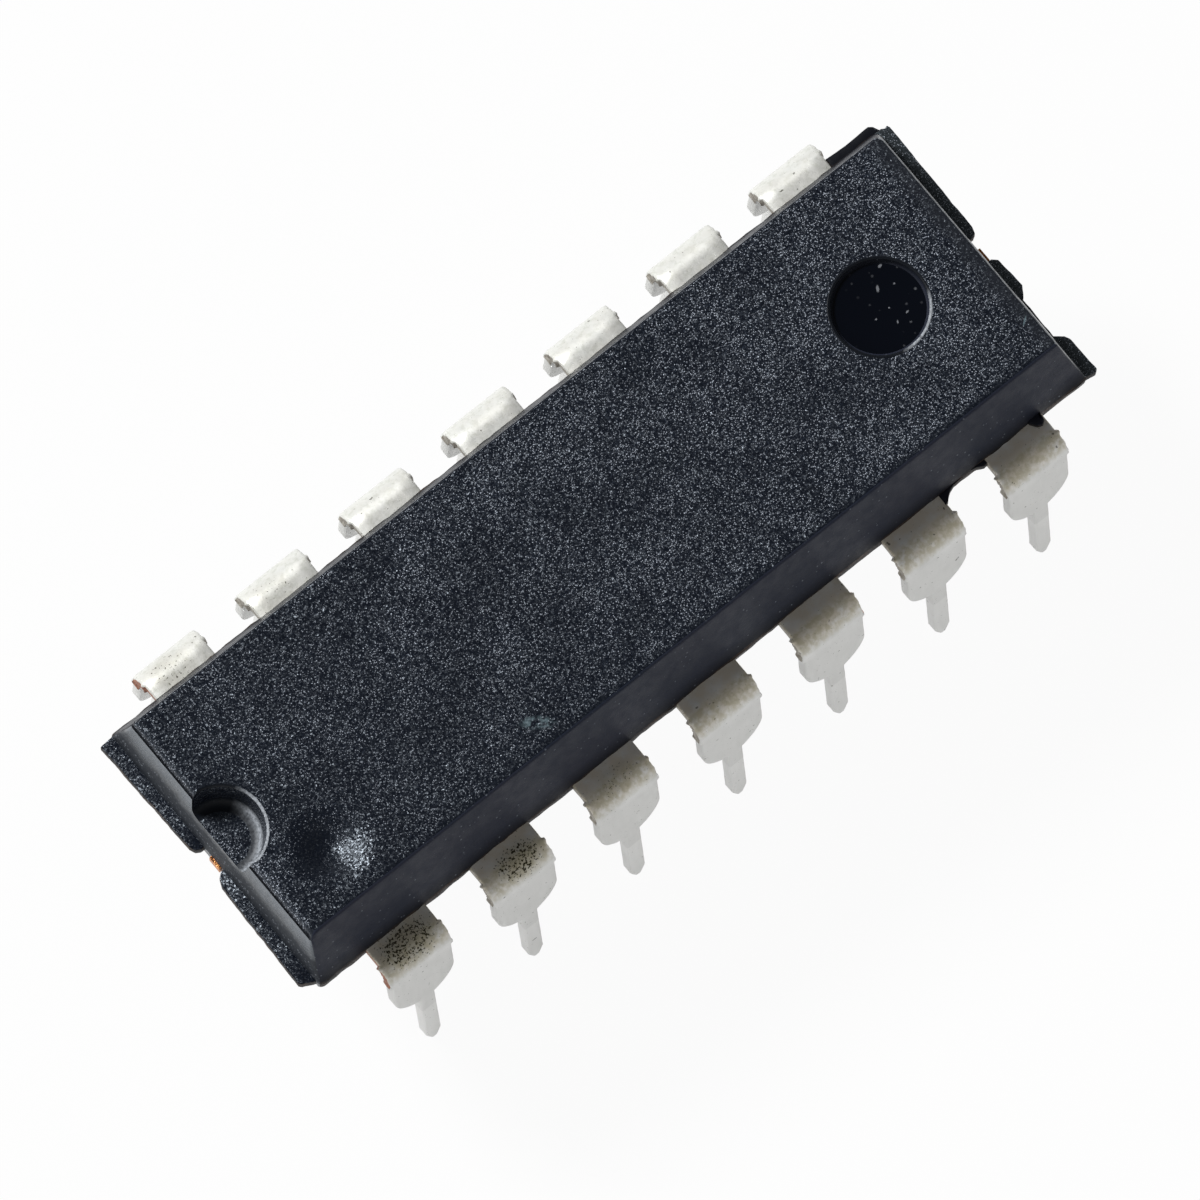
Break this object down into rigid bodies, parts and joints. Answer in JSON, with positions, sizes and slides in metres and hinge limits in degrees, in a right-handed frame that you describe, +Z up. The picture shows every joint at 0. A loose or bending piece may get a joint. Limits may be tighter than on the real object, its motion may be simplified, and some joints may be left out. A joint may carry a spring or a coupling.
{
  "type": "dual in-line integrated circuit",
  "caption": "Dual in-line plastic package with bent tinned leads along both long sides, an index notch and dimple, and a wired die on a lead frame inside, for through-hole boards.",
  "frame": {"origin": "midway between the two rows of leads and midway along the package, in the plane of the lead tips", "axes": "+X along the package from the notched end to the other end; +Z up, away from the circuit board; leads 1 to 7 on the -Y side, counted from the notch, and leads 8 to 14 back along the +Y side"},
  "size_m": [0.0194, 0.0086, 0.007],
  "materials": {
    "epoxy": "matte, finely rough",
    "tinned_lead": "copper alloy with a dull tin plating",
    "bare_frame": "bare copper alloy, satin",
    "die_attach": "silver-filled adhesive",
    "silicon": "polished",
    "gold_wire": "drawn gold wire"
  },
  "bodies": {
    "root": {"moulding": "epoxy", "die_paddle": "bare_frame", "die_attach": "die_attach", "silicon_die": "silicon", "lead_1": "tinned_lead", "lead_2": "tinned_lead", "lead_3": "tinned_lead", "lead_4": "tinned_lead", "lead_5": "tinned_lead", "lead_6": "tinned_lead", "lead_7": "tinned_lead", "lead_8": "tinned_lead", "lead_9": "tinned_lead", "lead_10": "tinned_lead", "lead_11": "tinned_lead", "lead_12": "tinned_lead", "lead_13": "tinned_lead", "lead_14": "tinned_lead", "bond_wire_1": "gold_wire", "bond_wire_2": "gold_wire", "bond_wire_3": "gold_wire", "bond_wire_4": "gold_wire", "bond_wire_5": "gold_wire", "bond_wire_6": "gold_wire", "bond_wire_7": "gold_wire", "bond_wire_8": "gold_wire", "bond_wire_9": "gold_wire", "bond_wire_10": "gold_wire", "bond_wire_11": "gold_wire", "bond_wire_12": "gold_wire", "bond_wire_13": "gold_wire", "bond_wire_14": "gold_wire"}
  },
  "joints": []
}
